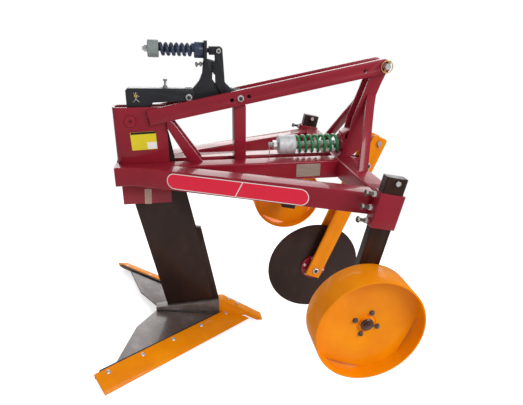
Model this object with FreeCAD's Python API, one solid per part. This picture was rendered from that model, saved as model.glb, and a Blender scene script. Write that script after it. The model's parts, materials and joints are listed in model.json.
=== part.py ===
import FreeCAD, Part
import math
import os
from FreeCAD import Vector as V

# Subsoiler: tube frame on a three-point hitch, one trip shank with winged share,
# a sprung coulter disc ahead of it and two depth wheels on sliding legs.
# Millimetres. X runs forward to the tractor, Y to the left, Z up.
# Pieces are drawn with the beams level and z = 0 under the wheels, then the
# whole machine is pitched nose up onto its share, as it parks.

# fits and clearances
pin_gap = 0.3            # pin to hole where both stay on one body
run_gap = 0.05           # running fit of wheel and disc hubs
slide_gap = 0.5          # leg to sleeve, each side
side_gap = 1.5           # shank to the box beams, each side

# frame tubes
tube = 80.0              # square tube of every beam
tube_round = 7.0         # rolled corner of the tube
beam_top = 641.0
beam_low = beam_top - tube
shank_t = 25.0
box_in = shank_t / 2 + side_gap - 1.0   # inner face of the straight rear beams
box_out = box_in + tube
box_len = 73.0           # straight rear part up to the mitre
half_width = 504.0       # beam ends, where the leg sleeves stand
cross_rear = 942.0       # rear face of the front cross beam
cross_front = cross_rear + tube
splay_x = 912.0          # where the outer face of a side beam reaches half_width
central_in = 22.0        # half of the slot between the two central beams
central_out = central_in + tube

# mast and its long top bars
mast_rear = 8.0
mast_front = 220.0
mast_top = 873.0
mast_out = 38.0
mast_t = 10.0
mast_in = mast_out - mast_t
mast_bend = 26.0         # outside radius of the two bends
bracket_low = 460.0      # lower end of the plates under the beams
bar_h = 61.5
bar_t = 16.0
bar_in = mast_out
bar_out = bar_in + bar_t
bar_rear = (150.0, 833.0)       # middle of the bar's rear end
hitch_pin = (1133.6, 1028.7)    # top link pin
hitch_pin_r = 12.7
post_w = 50.0
post_x = 520.0
post_gap = 8.0           # post top to the spring arms above it

# trip gear
shank_pivot = (75.0, 818.0)
head_pin = (105.0, 916.0)
knee = (313.0, 907.0)
trip_pivot = (520.0, 905.0)
trip_pin_r = 12.0
link_in = shank_t / 2 + side_gap
link_t = 8.0
link_out = link_in + link_t
lever_t = 20.0           # toggle lever plate
arm_gap = 2.0            # lever to spring arm plates
arm_in = lever_t / 2 + arm_gap
arm_t = 10.0
arm_out = arm_in + arm_t
eye_pin = (437.0, 1086.0)       # spring rod eye on the arm's top pin
eye_r = 10.0
rod_tail = (143.0, 1095.0)
trip_rod_r = 9.0

# shank and share
shank_low = -85.0
share_w = 50.0           # bar under the shank, and the point on its nose
blade_t = 10.0
bevel_w = 20.0           # sharpened front of a blade
edge_t = 3.0
wing_t = 10.0
strip_w = 56.0           # bent front of the wing plate, under the blade
blade_tail = V(-105.0, 444.0, -87.0)    # rear outer corner of a blade, top face
blade_tip = V(-58.0, 503.0, -126.0)     # front outer corner, on the ground
blade_nose = V(562.0, 30.0, -193.0)     # front inner corner beside the point
point_tip = (630.0, -218.0)

# coulter
disc_r = 228.6
disc_t = 5.0
disc_at = (890.0, 60.0)
arm_lean = 21.9          # degrees, top forward
coulter_bar_rear = 37.0  # axle to the bar's rear edge
coulter_bar_front = 35.0 # axle to the bar's front edge
coulter_foot = 36.0      # axle to the bar's lower end
coulter_head_z = 720.0
coulter_bar_t = 12.0
coulter_in = 32.0
coulter_out = coulter_in + coulter_bar_t
rod_pin = (1147.0, 694.0)       # clevis pin of the coulter's spring rod
rod_end = (650.0, 692.0)
clevis_r = 10.0
coulter_pivot_z = 590.0
axle_r = 12.0
gusset_out = bar_in
gusset_t = 10.0
gusset_in = gusset_out - gusset_t
seat_x = 979.0           # rear face of the coulter's spring seat
seat_t = 12.0
seat_top = 742.0         # where the seat bends forward
washer_t = 8.0
coil_gap = 0.5           # coil ends to what they bear on
coulter_rod_r = 11.0

# depth wheels
wheel_r = 203.0
wheel_w = 123.0
wheel_x = 890.0
plate_t = 8.0
plate_cut = 22.0         # depth of each of the four flats below the tread
plate_off = 9.0          # wheel's middle to the outer face of its plate
rim_t = 6.0
leg_lean = 11.8          # degrees, top forward
leg_w = 80.0
leg_d = 40.0
sleeve_wall = 6.0
leg_in = half_width + sleeve_wall + slide_gap
leg_out = leg_in + leg_d
sleeve_out = leg_out + slide_gap + sleeve_wall
leg_y = (leg_in + leg_out) / 2
wheel_gap = 27.5         # sleeve to the rim's inner edge
hub_gap = 11.0           # sleeve to the hub
wheel_y = sleeve_out + wheel_gap + wheel_w / 2
plate_out = wheel_y + plate_off
plate_flat = wheel_r - plate_cut
sleeve_len = 131.0
sleeve_z = 587.0
leg_top = 709.0
leg_drop = 30.0          # how far the leg can go down from its parked place
stop_r = 8.0             # stop bolt through the leg
stop_gap = 5.0           # stop bolt to the sleeve at the lowest place
stub_r = 18.0

nodes = {}


def prism(points, y0, y1):
    wire = Part.makePolygon([V(x, y0, z) for x, z in points] + [V(points[0][0], y0, points[0][1])])
    return Part.Face(wire).extrude(V(0, y1 - y0, 0))


def plan(points, z0, z1):
    wire = Part.makePolygon([V(x, y, z0) for x, y in points] + [V(points[0][0], points[0][1], z0)])
    return Part.Face(wire).extrude(V(0, 0, z1 - z0))


def box(x0, x1, y0, y1, z0, z1):
    return Part.makeBox(x1 - x0, y1 - y0, z1 - z0, V(x0, y0, z0))


def across(at, r, y0, y1):
    return Part.makeCylinder(r, y1 - y0, V(at[0], y0, at[1]), V(0, 1, 0))


def ngon(at, r, y0, y1, sides=16, turn=0.0):
    # prism with flats, its sides touching the circle of radius r from outside
    far = r / math.cos(math.pi / sides)
    turns = [math.radians(turn) + 2 * math.pi * (k + 0.5) / sides for k in range(sides)]
    return prism([(at[0] + far * math.cos(a), at[1] + far * math.sin(a)) for a in turns], y0, y1)


def ring_wire(p, u, s, r, sides):
    far = r / math.cos(math.pi / sides)
    wire = []
    for k in range(sides + 1):
        a = 2 * math.pi * (k % sides + 0.5) / sides
        h = far * math.cos(a)
        wire.append(V(p[0] + u[0] * s - u[1] * h, far * math.sin(a), p[1] + u[1] * s + u[0] * h))
    return Part.makePolygon(wire)


def stub(p, q, r, y=0.0, sides=6):
    # prism of that many sides from p to q
    u = unit(p, q)
    wire = ring_wire(p, u, 0, r, sides)
    body = Part.Face(wire).extrude(V(q[0] - p[0], 0, q[1] - p[1]))
    body.translate(V(0, y, 0))
    return body


def along(p, q, r, y=0.0):
    a = V(p[0], y, p[1])
    b = V(q[0], y, q[1])
    return Part.makeCylinder(r, (b - a).Length, a, b - a)


def flip(shape):
    return shape.mirror(V(0, 0, 0), V(0, 1, 0))


def unit(p, q):
    d = math.hypot(q[0] - p[0], q[1] - p[1])
    return ((q[0] - p[0]) / d, (q[1] - p[1]) / d)


def step(p, u, d, n=0.0):
    return (p[0] + u[0] * d - u[1] * n, p[1] + u[1] * d + u[0] * n)


def rounded(shape, r, pick):
    edges = [e for e in shape.Edges if pick(e)]
    return shape.makeFillet(r, edges)


def level(e, shortest=0.0):
    a = e.Vertexes[0].Point
    b = e.Vertexes[-1].Point
    return abs(a.z - b.z) < 0.01 and (b - a).Length > shortest


def upright(e):
    a = e.Vertexes[0].Point
    b = e.Vertexes[-1].Point
    return abs(a.z - b.z) > 1.0 and math.hypot(a.x - b.x, a.y - b.y) < 0.01


def crosswise(e):
    a = e.Vertexes[0].Point
    b = e.Vertexes[-1].Point
    return abs(a.y - b.y) > 0.5 and math.hypot(a.x - b.x, a.z - b.z) < 0.01


def both(name, shape):
    # a piece and its mirror image as two nodes
    nodes[name + "_left"] = shape
    nodes[name + "_right"] = flip(shape)


def pair(name, shape):
    # a piece and its mirror image as two solids of one node
    nodes[name] = Part.makeCompound([shape, flip(shape)])


# side beams: short straight box at the rear, mitred into the splay
splay = (half_width - box_out) / (splay_x - box_len)
skew = tube / math.cos(math.atan(splay))
inner_at = lambda x: box_out + splay * (x - box_len) - skew
bend_x = box_len + (box_in - box_out + skew) / splay
side = plan([(0, box_in), (bend_x, box_in), (cross_rear, inner_at(cross_rear)), (cross_rear, half_width),
             (splay_x, half_width), (box_len, box_out), (0, box_out)], beam_low, beam_top)
side = rounded(side, tube_round, lambda e: level(e, 60) and abs(e.Vertexes[0].Point.y - e.Vertexes[-1].Point.y) < 430
               and not (abs(e.Vertexes[0].X - cross_rear) < 1 and abs(e.Vertexes[-1].X - cross_rear) < 1)
               and not (abs(e.Vertexes[0].X) < 1 and abs(e.Vertexes[-1].X) < 1))
both("side_beam", side)

# central beams: parallel, their rear ends cut along the side beams' inner faces
cut_x = lambda y: box_len + (y + skew - box_out) / splay
central = plan([(cut_x(central_in), central_in), (cross_rear, central_in), (cross_rear, central_out),
                (cut_x(central_out), central_out)], beam_low, beam_top)
central = rounded(central, tube_round, lambda e: level(e, 300))
pair("central_beams", central)

cross = box(cross_rear, cross_front, -half_width, half_width, beam_low, beam_top)
cross = rounded(cross, tube_round, lambda e: level(e, 300))
nodes["cross_beam"] = cross

# mast: one plate bent to a U around the shank, standing on the beams
outer = box(mast_rear, mast_front, -mast_out, mast_out, beam_top, mast_top)
outer = rounded(outer, mast_bend, lambda e: upright(e) and abs(e.Vertexes[0].X - mast_rear) < 0.1)
inner = box(mast_rear + mast_t, mast_front + 10, -mast_in, mast_in, beam_top - 1, mast_top + 1)
inner = rounded(inner, mast_bend - mast_t, lambda e: upright(e) and abs(e.Vertexes[0].X - mast_rear - mast_t) < 0.1)
mast = outer.cut(inner).cut(ngon(shank_pivot, trip_pin_r + pin_gap, -mast_out - 1, mast_out + 1))
nodes["mast"] = mast
pair("lower_brackets", box(mast_rear + 9, mast_front, mast_in, mast_out, bracket_low, beam_low))

# shank pivot: round bosses outside, spacers inside, pin through
boss = ngon(shank_pivot, 22.5, mast_out, mast_out + 5, 20)
spacer = ngon(shank_pivot, 24.0, shank_t / 2, mast_in, 12)
pivot = ngon(shank_pivot, trip_pin_r, -mast_out - 5, mast_out + 5)
pivot = pivot.fuse([boss, spacer, flip(boss), flip(spacer)])
socket = ngon(shank_pivot, 6.5, mast_out - 3, mast_out + 6, 12)
nodes["shank_pivot"] = pivot.cut([socket, flip(socket)]).removeSplitter()

# top bars: flat bars from the mast to the top link pin
u = unit(bar_rear, hitch_pin)
half = bar_h / 2
nose = step(hitch_pin, u, -9.0)
bar = prism([step(bar_rear, u, 0, half), step(nose, u, 0, half),
             step(nose, u, 0, -half), step(bar_rear, u, 0, -half)], bar_in, bar_out)
bar = bar.fuse(across(nose, half, bar_in, bar_out)).removeSplitter()
bar = bar.cut(ngon(hitch_pin, hitch_pin_r + pin_gap, bar_in - 1, bar_out + 1))
bar = bar.cut(ngon(trip_pivot, trip_pin_r + pin_gap, bar_in - 1, bar_out + 1))
bar_holes = [
    # distance from the trip pivot along the bar, hole radius
    (-36.0, 8.0),
    (36.0, 8.0),
    (536.0, 9.0),
]
for distance, radius in bar_holes:
    bar = bar.cut(ngon(step(trip_pivot, u, distance), radius, bar_in - 1, bar_out + 1, 10))
pair("top_bars", bar)

# post between the two top bars, on a bridge plate in the slot of the beams
post_top = trip_pivot[1] - 25.0 - post_gap
post = box(post_x - post_w / 2, post_x + post_w / 2, -bar_in, bar_in, beam_top, post_top)
post = rounded(post, 5.0, upright)
bridge = box(post_x - 52, post_x + 40, -central_in, central_in, beam_top - 30, beam_top - 10)
bridge = bridge.fuse(box(post_x - post_w / 2 + 6, post_x + post_w / 2 - 6, -central_in, central_in, beam_top - 12, beam_top + 5))
nodes["post"] = post.fuse(bridge).removeSplitter()

# rear struts from the mast's front edge down to the central beams
strut = prism([(mast_front, 830), (248, 806), (359, beam_top), (303, beam_top), (mast_front, 790)], bar_in, bar_out)
strut = strut.cut(prism([step(bar_rear, u, -9, -half), step(bar_rear, u, 300, -half),
                         step(bar_rear, u, 300, half), step(bar_rear, u, -9, half)], bar_in - 1, bar_out + 1))
pair("struts", strut)

# gussets under the top link pin, outside faces flush with the bars' inside
gusset_foot = [
    # forward of the cross beam's rear face, above the beam
    (19, 0),
    (34, 7),
    (38.5, 17),
    (39, 61),
    (55, 76),
    (65, 116),
    (74, 170),
    (106, 256),
]
gusset_head = [
    # forward of the top link pin, above it
    (-61.6, -57.7),
    (-28.6, -23.7),
    (21.4, -13.7),
    (10.4, -38.7),
    (-5.6, -74.7),
    (-22.6, -120.7),
]
outline = [(cross_rear + dx, beam_top + dz) for dx, dz in gusset_foot]
outline += [(hitch_pin[0] + dx, hitch_pin[1] + dz) for dx, dz in gusset_head]
gusset = prism(outline + [(cross_front, beam_top)], gusset_in, gusset_out)
gusset = gusset.fuse(ngon(hitch_pin, 24.0, gusset_in, gusset_out, 16))
gusset = gusset.cut(ngon(hitch_pin, hitch_pin_r + pin_gap, gusset_in - 1, gusset_out + 1)).removeSplitter()
pair("gussets", gusset)

# spring seat between the gussets, bent forward at the top
seat = prism([(seat_x, beam_top), (seat_x, seat_top), (seat_x + 71, seat_top + 33), (seat_x + 71, seat_top + 23),
              (seat_x + seat_t, seat_top - 6), (seat_x + seat_t, beam_top)], -gusset_in, gusset_in)
rod_z = lambda x: rod_end[1] + (x - rod_end[0]) * (rod_pin[1] - rod_end[1]) / (rod_pin[0] - rod_end[0])
cline = lambda x: (x, rod_z(x))
seat = seat.fuse(stub(cline(seat_x - washer_t), cline(seat_x), 41.0, 0, 24))
seat = seat.cut(stub(cline(seat_x - 20), cline(seat_x + 20), coulter_rod_r + 2.0, 0, 16))
nodes["spring_seat"] = seat.removeSplitter()

# front stays: flat bars from the gussets down and out to the cross beam
stay_w = 40.0
stay_t = 12.0
foot = V(993.0, 252.0, beam_top)
crown = V(1084.0, gusset_out + stay_t / 2, 893.0)
run = (crown - foot).normalize()
flat = V(run.z, 0, -run.x).normalize()
thick = run.cross(flat).normalize()
corner = foot - run * 30 - flat * (stay_w / 2) - thick * (stay_t / 2)
length = (crown - foot).Length + 30
wire = Part.makePolygon([corner, corner + flat * stay_w, corner + flat * stay_w + thick * stay_t,
                         corner + thick * stay_t, corner])
stay = Part.Face(wire).extrude(run * length)
stay = stay.fuse(Part.makeCylinder(stay_w / 2, stay_t, crown - thick * (stay_t / 2), thick))
reach = 3 * stay_w
stay = stay.cut(box(foot.x - reach, crown.x + reach, -reach, foot.y + reach, beam_low, beam_top))
stay = stay.cut(box(foot.x - reach, crown.x + reach, -reach, gusset_out, beam_low, crown.z + reach)).removeSplitter()
pair("front_stays", stay)

# top link pin with head and lynch pin
pin = ngon(hitch_pin, hitch_pin_r, -bar_out - 26, bar_out + 4)
pin = pin.fuse(ngon(hitch_pin, 20.0, bar_out + pin_gap, bar_out + 8, 16))
lynch = prism([(hitch_pin[0] - 4.5, hitch_pin[1] - 22), (hitch_pin[0] + 4.5, hitch_pin[1] - 22),
               (hitch_pin[0] + 4.5, hitch_pin[1] + 20), (hitch_pin[0] - 4.5, hitch_pin[1] + 20)],
              -bar_out - 17.5, -bar_out - 8.5)
nodes["top_link_pin"] = pin.fuse(lynch)

# lower link pins: each stands out from a lug under the front cross beam
lug_in = 372.0
lug_t = 16.0
lug_face = lug_in + lug_t
collar_t = 6.0
link_pin = (1040.0, 512.0)
link_pin_r = 14.3
link_pin_free = 58.0
lug = prism([(1004, beam_low), (cross_front, beam_low), (cross_front, 606), (1034, 606), (1066, 525), (1066, 500),
             (1054, 486), (1026, 486), (1014, 500)], lug_in, lug_face)
pair("link_lugs", lug.cut(ngon(link_pin, link_pin_r + pin_gap, lug_in - 1, lug_face + 1)))
pin = across(link_pin, link_pin_r, lug_in - 8, lug_face + collar_t + link_pin_free)
pin = pin.fuse(ngon(link_pin, 22.0, lug_face, lug_face + collar_t, 16))
pair("link_pins", pin.fuse(ngon(link_pin, 20.0, lug_in - 16, lug_in, 6)).removeSplitter())

# rear link: inverted channel from the shank's head pin to the knee
web_top = [(66, 860), (66, 938), (78, 946), (327, 941), (336, 930), (336, 900), (330, 893), (170, 888), (150, 860)]
cheek = prism(web_top, link_in, link_out)
web = prism([(78, 946), (78, 938), (300, 934), (300, 942)], -link_in, link_in)
link = web.fuse([cheek, flip(cheek)])
for at in (head_pin, knee):
    link = link.cut(ngon(at, trip_pin_r + pin_gap, -link_out - 1, link_out + 1))
nodes["rear_link"] = link.removeSplitter()
screw = stub((221, 944.0), (223, 978), 5.0, 0, 10).fuse(stub((221, 944.0), (221.4, 953), 10.0))
toggle_bolts = [screw.fuse(stub((222.4, 968), (223, 980), 8.5)).removeSplitter()]

# pins of the toggle
pins = [
    # place, radius, half length, head radius, head thickness
    (head_pin, trip_pin_r, link_out, 12.5, 6.0),
    (knee, trip_pin_r, link_out, 15.0, 9.0),
    (trip_pivot, trip_pin_r, bar_out, 15.0, 9.0),
    (eye_pin, eye_r, arm_out, 13.0, 7.0),
]
for at, pin_r, half_len, head_r, head_h in pins:
    bolt = ngon(at, pin_r, -half_len - head_h, half_len + head_h)
    ends = ngon(at, head_r, half_len, half_len + head_h, 6)
    toggle_bolts.append(bolt.fuse([ends, flip(ends)]).removeSplitter())
nodes["toggle_bolts"] = Part.makeCompound(toggle_bolts)

# toggle lever: knee eye, curved back and the upright plate that the spring bears on
lever_shape = [(300, 893), (331, 941), (357, 970), (371, 1001), (375, 1040), (378, 1056), (391, 1056), (412, 1052),
               (412, 1002), (410, 977), (424, 957), (500, 938), (505, 880), (400, 876)]
lever = prism(lever_shape, -lever_t / 2, lever_t / 2)
lever = lever.fuse(ngon(knee, 26.0, -lever_t / 2, lever_t / 2, 24))
lever = lever.cut([ngon(knee, trip_pin_r + pin_gap, -40, 40), ngon(trip_pivot, 30, -40, 40, 24)])
u = unit(rod_tail, eye_pin)
line = lambda x: step(rod_tail, u, (x - rod_tail[0]) / u[0])
bearing = prism([step(line(379), u, 0, 38), step(line(391), u, 0, 38), step(line(391), u, 0, -38),
                 step(line(379), u, 0, -38)], -38, 38)
nodes["toggle_lever"] = lever.fuse(bearing).cut(stub(line(370), line(400), trip_rod_r + 2.0, 0, 16)).removeSplitter()

# spring arm: two plates from the trip pivot up to the rod's eye
arm_shape = [(414, 1048), (424, 1047), (424, 1071), (400, 1071), (400, 1102), (442, 1103), (453, 1092), (460, 965),
             (487, 938), (560, 930), (566, 885), (470, 880), (440, 930), (424, 957), (424, 992), (414, 1000)]
arm_plate = prism(arm_shape, arm_in, arm_out)
for at, r in ((trip_pivot, trip_pin_r + pin_gap), (eye_pin, eye_r + pin_gap)):
    arm_plate = arm_plate.cut(ngon(at, r, arm_in - 1, arm_out + 1))
pair("spring_arms", arm_plate)


def coil(p, q, wire_r, ring_r, turns, sides=16):
    # stack of rings on a thin tube around the rod, closed by plane faces
    u = unit(p, q)
    size = math.hypot(q[0] - p[0], q[1] - p[1])
    pitch = size / turns
    core = ring_r - wire_r * 0.7
    stations = [(0, core)]
    for k in range(turns):
        mid = pitch * (k + 0.5)
        stations += [(mid - wire_r, core), (mid - wire_r * 0.5, ring_r + wire_r), (mid + wire_r * 0.5, ring_r + wire_r),
                     (mid + wire_r, core)]
    stations += [(size, core), (size, core - wire_r * 0.8), (0, core - wire_r * 0.8)]
    rings = [[v.Point for v in ring_wire(p, u, s, r, sides).Vertexes] for s, r in stations]
    faces = []
    for ring, after in zip(rings, rings[1:] + rings[:1]):
        for k in range(sides):
            n = (k + 1) % sides
            faces.append(Part.Face(Part.makePolygon([ring[k], ring[n], after[n], after[k], ring[k]])))
    body = Part.Solid(Part.Shell(faces))
    if body.Volume < 0:
        body.reverse()
    return body


# trip spring on its rod
rod = stub(rod_tail, line(415), trip_rod_r, 0, 16)
eye = ngon(eye_pin, 18.0, -lever_t / 2, lever_t / 2).fuse(box(404, 437, -10, 10, 1078, 1096))
rod = rod.fuse(eye).cut(ngon(eye_pin, eye_r + pin_gap, -40, 40))
nodes["trip_rod"] = rod.fuse(stub(line(150), line(163), 14.0)).removeSplitter()
hole = stub(line(100), line(420), trip_rod_r + pin_gap, 0, 16)
nodes["trip_cap"] = stub(line(163), line(205), 33.0, 0, 32).cut(hole)
nodes["trip_cup"] = stub(line(342), line(379), 31.0, 0, 32).cut(hole)
nodes["trip_spring"] = coil(line(205 + coil_gap), line(342 - coil_gap), 7.0, 19.5, 7)

# shank: plate up through the box to its head, with the strip on its shin
sole = lambda x: shank_low + (x - 167) * 9 / 247     # lower edge of the shank
shank_shape = [(167, shank_low), (61, 445), (53, 561), (48, 760), (66, 880), (70, 922), (85, 934), (125, 930),
               (143, 912), (150, 870), (221, 768), (244, beam_top), (285, 484), (319, 319), (391, sole(391))]
shank = prism(shank_shape, -shank_t / 2, shank_t / 2)
for at in (shank_pivot, head_pin):
    shank = shank.cut(ngon(at, trip_pin_r + pin_gap, -40, 40))
nodes["shank"] = shank
nodes["shin_strip"] = prism([(319, 319), (341, 317), (414, sole(414)), (391, sole(391))], -shank_t / 2, shank_t / 2)

# bar under the shank; its nose slopes down to carry the point
share_bar = prism([(112, sole(112)), (414, sole(414)), (540, -160), (540, -178), (470, -165), (380, -122),
                   (112, -122)], -share_w / 2, share_w / 2)
nodes["share_bar"] = share_bar
point = prism([(414, sole(414)), (436, sole(414)), (point_tip[0], point_tip[1] + 10), point_tip, (604, -216), (540, -178),
               (540, -160)], -share_w / 2, share_w / 2)
nodes["point"] = point

# blades and wing plates; one local frame per side: s along the edge, t across it
edge = (blade_nose - blade_tip).normalize()
width = (blade_tip - blade_tail) - edge * (blade_tip - blade_tail).dot(edge)
blade_w = width.Length
width.normalize()
lift = width.cross(edge).normalize()
if lift.z < 0:
    lift = lift * -1


def in_blade(points, top, t):
    base = [blade_tail + edge * s + width * w + lift * top for s, w in points]
    wire = Part.makePolygon(base + [base[0]])
    return Part.Face(wire).extrude(lift * -t)


def at_flank(w):
    # distance along the edge at which the line w across meets the bar's side
    start = blade_tail + width * w
    return (share_w / 2 - start.y) / edge.y


flank = share_w / 2
core = box(-200, 700, -100, flank, -300, 100)
end = at_flank(blade_w) + 20
profile = [blade_tail, blade_tail + width * (blade_w - bevel_w), blade_tail + width * blade_w - lift * (blade_t - edge_t),
           blade_tail + width * blade_w - lift * blade_t, blade_tail - lift * blade_t]
blade = Part.Face(Part.makePolygon(profile + profile[:1])).extrude(edge * end).cut(core)
pair("blades", blade)
strip = in_blade([(12, 0), (12, strip_w), (end, strip_w), (end, 0)], -blade_t, wing_t)
tail = blade_tail - lift * blade_t
heel = V(29.0, 144.0, -97.0)
normal = edge.cross(heel - tail).normalize()
if normal.z < 0:
    normal = normal * -1
on_wing = lambda x, y: V(x, y, tail.z - (normal.x * (x - tail.x) + normal.y * (y - tail.y)) / normal.z)
inside = tail + edge * at_flank(0)
corners = [(112, flank), (29, 144), (-43, 380), (-91, 419), (tail.x, tail.y), (inside.x, inside.y - 5), (112, flank - 5)]
face = Part.Face(Part.makePolygon([on_wing(x, y) for x, y in corners + corners[:1]]))
wing = face.extrude(normal * -wing_t).fuse(strip).cut([core, blade]).removeSplitter()
pair("wing_plates", wing)

# coulter arm: two bars, web, pivot lugs on the cross beam
lean = math.radians(arm_lean)
up = (math.sin(lean), math.cos(lean))
at_z = lambda z: step(disc_at, up, (z - disc_at[1]) / up[1])
arm_end = at_z(coulter_head_z)
bar = prism([step(disc_at, up, -coulter_foot, coulter_bar_rear), step(disc_at, up, -coulter_foot, -coulter_bar_front),
             step(arm_end, up, 0, -coulter_bar_front), step(arm_end, up, 0, coulter_bar_rear)], coulter_in, coulter_out)
bar = rounded(bar, 14.0, lambda e: crosswise(e) and e.Vertexes[0].Z > 600)
coulter_pivot = at_z(coulter_pivot_z)
for at, r in ((disc_at, axle_r), (coulter_pivot, axle_r), (rod_pin, clevis_r)):
    bar = bar.cut(ngon(at, r + pin_gap, coulter_in - 1, coulter_out + 1))
pair("coulter_bars", bar)
nodes["coulter_web"] = prism([step(disc_at, up, disc_r + 20, -coulter_bar_front), step(disc_at, up, disc_r + 20, 12 - coulter_bar_front),
                              step(coulter_pivot, up, -55, 12 - coulter_bar_front),
                              step(coulter_pivot, up, -55, -coulter_bar_front)], -coulter_in, coulter_in)
lug_out = coulter_in - 1.0
pivot_lug = prism([(cross_front, 565), (coulter_pivot[0], coulter_pivot_z - 28), (coulter_pivot[0] + 26, coulter_pivot_z - 12),
                   (coulter_pivot[0] + 26, coulter_pivot_z + 12), (coulter_pivot[0], coulter_pivot_z + 28),
                   (cross_front, 632)], lug_out - 12, lug_out)
pair("pivot_lugs", pivot_lug.cut(ngon(coulter_pivot, axle_r + pin_gap, 0, 100)))

# coulter spring rod, its block on the clevis pin, spring and cap
rod = stub(rod_end, cline(1120), coulter_rod_r, 0, 16).fuse(ngon(rod_pin, 20.0, -coulter_in + 1, coulter_in - 1))
rod = rod.fuse(stub(cline(1110), cline(rod_pin[0]), coulter_rod_r, 0, 16)).cut(ngon(rod_pin, clevis_r + pin_gap, -80, 80))
nodes["coulter_rod"] = rod.fuse(stub(cline(668), cline(692), 17.0)).removeSplitter()
hole = stub(cline(600), cline(1000), coulter_rod_r + pin_gap, 0, 16)
nodes["coulter_cap"] = stub(cline(692), cline(766), 41.5, 0, 32).cut(hole)
nodes["coulter_spring"] = coil(cline(766 + coil_gap), cline(seat_x - washer_t - coil_gap), 6.5, 35.5, 9)

# coulter disc with hub and flange, turning on its axle
coulter_pins = []
for at, r in ((disc_at, axle_r), (coulter_pivot, axle_r), (rod_pin, clevis_r)):
    round_bar = across if at is disc_at else ngon
    coulter_pins.append(round_bar(at, r, -coulter_out - 12, coulter_out + 12))
nodes["coulter_pins"] = Part.makeCompound(coulter_pins)
disc = across(disc_at, disc_r, -disc_t / 2, disc_t / 2).cut(ngon(disc_at, 30.0 + pin_gap, -10, 10))
nodes["coulter_disc"] = disc
hub = ngon(disc_at, 30.0, -coulter_in + 5, coulter_in - 5)
hub = hub.fuse(ngon(disc_at, 63.0, -disc_t / 2 - 8, -disc_t / 2, 28)).cut(across(disc_at, axle_r + run_gap, -60, 60))
nodes["coulter_hub"] = hub

# wheel legs in their sleeves
lean = math.radians(leg_lean)
up = (math.sin(lean), math.cos(lean))
wheel_at = (wheel_x, wheel_r)
at_z = lambda z: step(wheel_at, up, (z - wheel_r) / up[1])


def slab(low, high, w, y0, y1):
    return prism([step(low, up, 0, -w / 2), step(low, up, 0, w / 2), step(high, up, 0, w / 2),
                  step(high, up, 0, -w / 2)], y0, y1)


foot_end = step(wheel_at, up, -44)
leg = slab(foot_end, at_z(leg_top), leg_w, leg_in, leg_out)
leg = rounded(leg, 5.0, lambda e: (e.Vertexes[0].Point - e.Vertexes[-1].Point).Length > 300)
hub_in = sleeve_out + hub_gap
hub_out = plate_out - 2.0
leg = leg.fuse(across(wheel_at, stub_r, leg_out - 5, hub_out - 2))
stop_reach = stop_r / math.cos(math.pi / 12)
stop_at = step(at_z(sleeve_z), up, sleeve_len / 2 + leg_drop + stop_gap + stop_reach)
leg = leg.fuse(ngon(stop_at, stop_r, leg_in - 12, leg_out + 8, 12))
both("wheel_leg", leg)
mid = at_z(sleeve_z)
low = step(mid, up, -sleeve_len / 2)
high = step(mid, up, sleeve_len / 2)
sleeve = slab(low, high, leg_w + 2 * (slide_gap + sleeve_wall), half_width, sleeve_out)
bore = slab(step(low, up, -5), step(high, up, 5), leg_w + 2 * slide_gap, leg_in - slide_gap, leg_out + slide_gap)
pair("leg_sleeves", sleeve.cut(bore))
screws = []
back = leg_w / 2 + slide_gap + sleeve_wall
for offset in (-50.0, 1.0, 52.0):
    at = lambda d: step(mid, up, offset, back + d)
    screw = stub(at(0), at(48), 7.0, leg_y, 8).fuse([stub(at(0), at(6), 14.0, leg_y, 8), stub(at(8), at(20), 11.0, leg_y),
                                                      stub(at(37), at(48), 11.0, leg_y)])
    screws.append(screw.removeSplitter())
nodes["set_screws"] = Part.makeCompound(screws + [flip(screw) for screw in screws])

# wheels: rolled rim with a plate inside, cut by four flats, and a bolted hub
rim = across(wheel_at, wheel_r, wheel_y - wheel_w / 2, wheel_y + wheel_w / 2)
rim = rim.cut(across(wheel_at, wheel_r - rim_t, wheel_y - wheel_w, wheel_y + wheel_w))
inner_r = wheel_r - rim_t
disc = across(wheel_at, inner_r, plate_out - plate_t, plate_out)
for k in range(4):
    chord = box(wheel_x + plate_flat, wheel_x + wheel_r, plate_out - plate_t - 1, plate_out + 1, 0, 2 * wheel_r)
    chord.rotate(V(wheel_x, 0, wheel_r), V(0, 1, 0), 22.5 + 90 * k)
    disc = disc.cut(chord)
disc = disc.cut(ngon(wheel_at, 36.0 + pin_gap, plate_out - plate_t - 1, plate_out + 1))
both("wheel", rim.fuse(disc).removeSplitter())
flange = plate_out - plate_t
hub = ngon(wheel_at, 36.0, hub_in, hub_out).fuse(ngon(wheel_at, 62.0, flange - 12, flange, 24))
hub = hub.fuse(ngon(wheel_at, 26.0, hub_out, hub_out + 10, 16))
hub = hub.cut(across(wheel_at, stub_r + run_gap, hub_in - 1, hub_out)).removeSplitter()
both("wheel_hub", hub)

# parked stance: pitch the machine nose up until wing tips and point share the floor
ground_tip = blade_tail + width * blade_w - lift * blade_t
nose_up = math.degrees(math.atan2(ground_tip.z - point_tip[1], point_tip[0] - ground_tip.x))
for name in nodes:
    nodes[name].rotate(V(0, 0, 0), V(0, 1, 0), -nose_up)
bounds = Part.makeCompound(list(nodes.values())).BoundBox
shift = V(-(bounds.XMin + bounds.XMax) / 2, -(bounds.YMin + bounds.YMax) / 2, -bounds.ZMin)
os.makedirs("parts", exist_ok=True)
for name in nodes:
    nodes[name].translate(shift)
    nodes[name].exportStep("parts/" + name + ".step")
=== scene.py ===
# %% [markdown]
# # A one-shank subsoiler, dressed for its picture
# The machine breaks hard ground below plough depth. Its solids come packed from the CAD model. They stay
# where they are as a fixed frame, and these cells give them softened edges, true springs, bolts, welds,
# labels and paint. Loading comes first, because every later piece is placed against that frame.

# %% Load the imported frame
import bpy
import json
from math import atan2, cos, degrees, pi, radians, sin
from mathutils import Matrix, Vector

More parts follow.
